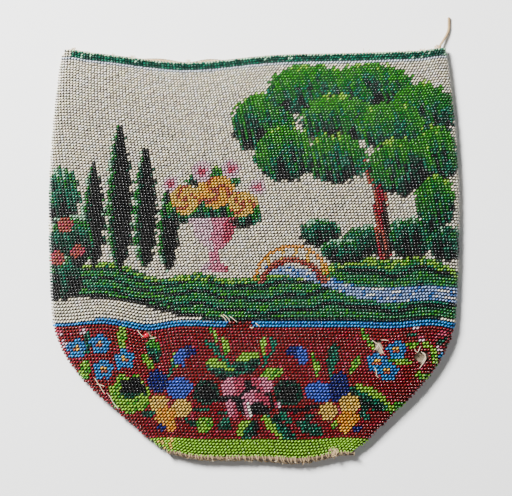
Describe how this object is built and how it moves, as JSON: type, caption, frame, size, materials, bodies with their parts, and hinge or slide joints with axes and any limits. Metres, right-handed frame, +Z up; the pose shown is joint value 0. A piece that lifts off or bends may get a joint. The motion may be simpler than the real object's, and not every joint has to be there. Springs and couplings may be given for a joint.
{
  "type": "beaded pouch",
  "caption": "Flat knitted pouch of glass seed beads with an open mouth, tapered lower corners, a whip-stitched base and a thin cloth lining.",
  "frame": {"origin": "centre of the pouch's bounding box in plan, on the surface that the back wall lies on", "axes": "+X across the pouch to the right as seen from the front, +Y from the base toward the mouth, +Z up from the table out of the front wall"},
  "size_m": [0.1618, 0.175, 0.0108],
  "materials": {
    "ivory_glass_beads": "opaque ivory glass seed beads with a picture in greens, blues and browns",
    "teal_glass_beads": "translucent dark teal glass seed beads",
    "blue_glass_beads": "translucent bright blue glass seed beads",
    "maroon_glass_beads": "translucent maroon glass seed beads with flowers",
    "lime_glass_beads": "opaque lime green glass seed beads",
    "red_glass": "clear red glass, polished",
    "tan_thread": "twisted linen or cotton thread, matte",
    "tan_lining": "plain cotton cloth, matte and worn"
  },
  "bodies": {
    "back_wall": {"back_rim_band": "teal_glass_beads", "back_picture_field": "ivory_glass_beads", "back_blue_stripe": "blue_glass_beads", "back_flower_band": "maroon_glass_beads", "back_base_band": "lime_glass_beads", "back_lining": "tan_lining", "back_mouth_edging": "tan_thread", "left_side_fold": "ivory_glass_beads", "right_side_fold": "ivory_glass_beads", "left_taper_fold": "maroon_glass_beads", "right_taper_fold": "maroon_glass_beads", "base_seam": "tan_thread", "loose_thread": "tan_thread"},
    "front_wall": {"front_rim_band": "teal_glass_beads", "front_picture_field": "ivory_glass_beads", "front_blue_stripe": "blue_glass_beads", "front_flower_band": "maroon_glass_beads", "front_base_band": "lime_glass_beads", "front_lining": "tan_lining", "front_mouth_edging": "tan_thread", "red_bead": "red_glass"}
  },
  "joints": [
    {"name": "mouth_opening", "type": "hinge", "parent": "back_wall", "child": "front_wall", "pos_m": [0, -0.0847, 0.0046], "axis": [1, 0, 0], "range_deg": [0, 8]}
  ]
}
